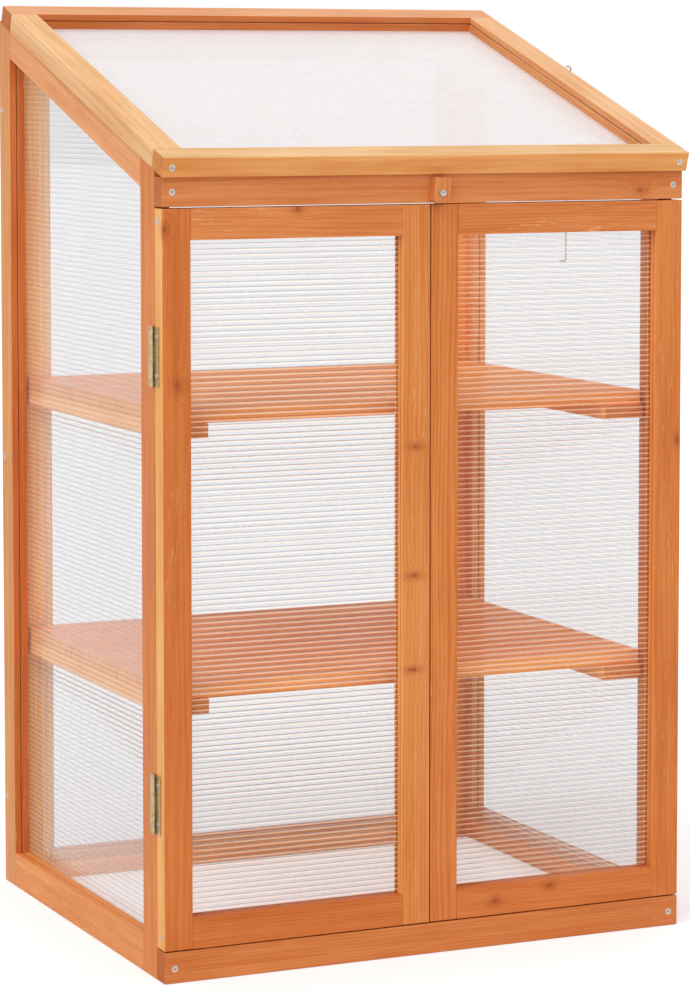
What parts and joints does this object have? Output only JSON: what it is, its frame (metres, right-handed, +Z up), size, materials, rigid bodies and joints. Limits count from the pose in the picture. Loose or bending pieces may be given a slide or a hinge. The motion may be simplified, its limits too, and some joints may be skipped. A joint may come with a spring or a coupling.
{
  "type": "mini greenhouse",
  "caption": "Upright wooden mini greenhouse with twin-wall panels, double doors with a turn button, a sloping hinged lid with a stay, and slotted shelves.",
  "frame": {"origin": "on the floor, in the middle of the footprint, which counts the turn button in front", "axes": "+X to the right of someone facing the doors, +Y from the doors to the back, +Z up"},
  "size_m": [0.6169, 0.5149, 0.9996],
  "materials": {
    "stained_wood": "satin",
    "twin_wall_sheet": "satin",
    "brass_plate": "satin",
    "zinc_steel": "satin"
  },
  "bodies": {
    "cabinet": {"left_front_post": "stained_wood", "left_rear_post": "stained_wood", "left_bottom_rail": "stained_wood", "left_top_rail": "stained_wood", "left_side_panel": "twin_wall_sheet", "right_front_post": "stained_wood", "right_rear_post": "stained_wood", "right_bottom_rail": "stained_wood", "right_top_rail": "stained_wood", "right_side_panel": "twin_wall_sheet", "back_left_stile": "stained_wood", "back_right_stile": "stained_wood", "back_top_rail": "stained_wood", "back_bottom_rail": "stained_wood", "back_panel": "twin_wall_sheet", "header_rail": "stained_wood", "base_rail": "stained_wood", "lower_left_batten": "stained_wood", "lower_right_batten": "stained_wood", "lower_shelf_front_board": "stained_wood", "lower_shelf_middle_board": "stained_wood", "lower_shelf_back_board": "stained_wood", "upper_left_batten": "stained_wood", "upper_right_batten": "stained_wood", "upper_shelf_front_board": "stained_wood", "upper_shelf_middle_board": "stained_wood", "upper_shelf_back_board": "stained_wood", "left_post_hinge_leaves": "brass_plate", "right_post_hinge_leaves": "brass_plate", "door_hinge_pins": "brass_plate", "back_lid_hinge_leaves": "brass_plate", "lid_hinge_pins": "brass_plate", "frame_screws": "zinc_steel", "hinge_frame_screws": "zinc_steel", "latch_screw": "zinc_steel", "stay_catch_eye": "zinc_steel"},
    "left_door": {"left_door_hinge_stile": "stained_wood", "left_door_closing_stile": "stained_wood", "left_door_top_rail": "stained_wood", "left_door_bottom_rail": "stained_wood", "left_door_panel": "twin_wall_sheet", "left_door_hinge_leaves": "brass_plate", "left_door_screws": "zinc_steel"},
    "right_door": {"right_door_hinge_stile": "stained_wood", "right_door_closing_stile": "stained_wood", "right_door_top_rail": "stained_wood", "right_door_bottom_rail": "stained_wood", "right_door_panel": "twin_wall_sheet", "right_door_hinge_leaves": "brass_plate", "right_door_screws": "zinc_steel"},
    "turn_button": {"turn_button": "stained_wood"},
    "lid": {"lid_front_rail": "stained_wood", "lid_back_rail": "stained_wood", "lid_left_rafter": "stained_wood", "lid_right_rafter": "stained_wood", "lid_panel": "twin_wall_sheet", "lid_hinge_leaves": "brass_plate", "lid_screws": "zinc_steel", "lid_stay_eye": "zinc_steel"},
    "lid_stay": {"lid_stay": "zinc_steel"}
  },
  "joints": [
    {"name": "left_door_swing", "type": "hinge", "parent": "cabinet", "child": "left_door", "pos_m": [-0.302, -0.2207, 0.41], "axis": [0, 0, -1], "range_deg": [0, 175]},
    {"name": "right_door_swing", "type": "hinge", "parent": "cabinet", "child": "right_door", "pos_m": [0.302, -0.2207, 0.41], "axis": [0, 0, 1], "range_deg": [0, 175]},
    {"name": "turn_button_turn", "type": "hinge", "parent": "cabinet", "child": "turn_button", "pos_m": [0.007, -0.2494, 0.8005], "axis": [0, 1, 0], "range_deg": [0, 180]},
    {"name": "lid_swing", "type": "hinge", "parent": "cabinet", "child": "lid", "pos_m": [0, 0.24732, 0.98316], "axis": [-1, 0, 0], "range_deg": [0, 80]},
    {"name": "lid_stay_swing", "type": "hinge", "parent": "lid", "child": "lid_stay", "pos_m": [0.3068, 0.03388, 0.92369], "axis": [1, 0, 0], "range_deg": [-25, 80]}
  ]
}
